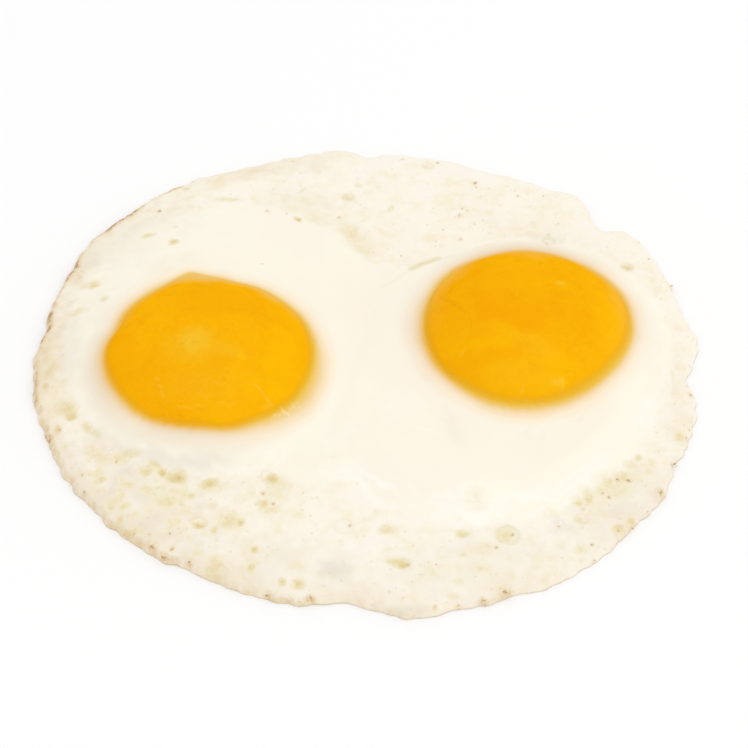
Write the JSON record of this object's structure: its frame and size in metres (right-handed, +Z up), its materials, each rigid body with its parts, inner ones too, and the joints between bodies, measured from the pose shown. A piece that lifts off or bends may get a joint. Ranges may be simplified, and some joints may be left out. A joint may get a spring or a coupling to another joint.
{
  "type": "pair of fried eggs",
  "caption": "Pair of sunny-side-up fried eggs whose whites have set into one round flat sheet, with domed soft yolks.",
  "frame": {"origin": "under the middle of the pair's outline, on the surface that it lies on", "axes": "+X from the left yolk to the right yolk, +Y away from the viewer, +Z up"},
  "size_m": [0.1396, 0.1402, 0.0187],
  "materials": {
    "egg_white": "moist set egg white, cream and slightly translucent, faintly browned at the rim",
    "yolk": "moist soft yolk, deep yellow-orange under a thin clear film"
  },
  "bodies": {
    "root": {"egg_white": "egg_white", "yolk_left": "yolk", "yolk_right": "yolk"}
  },
  "joints": []
}
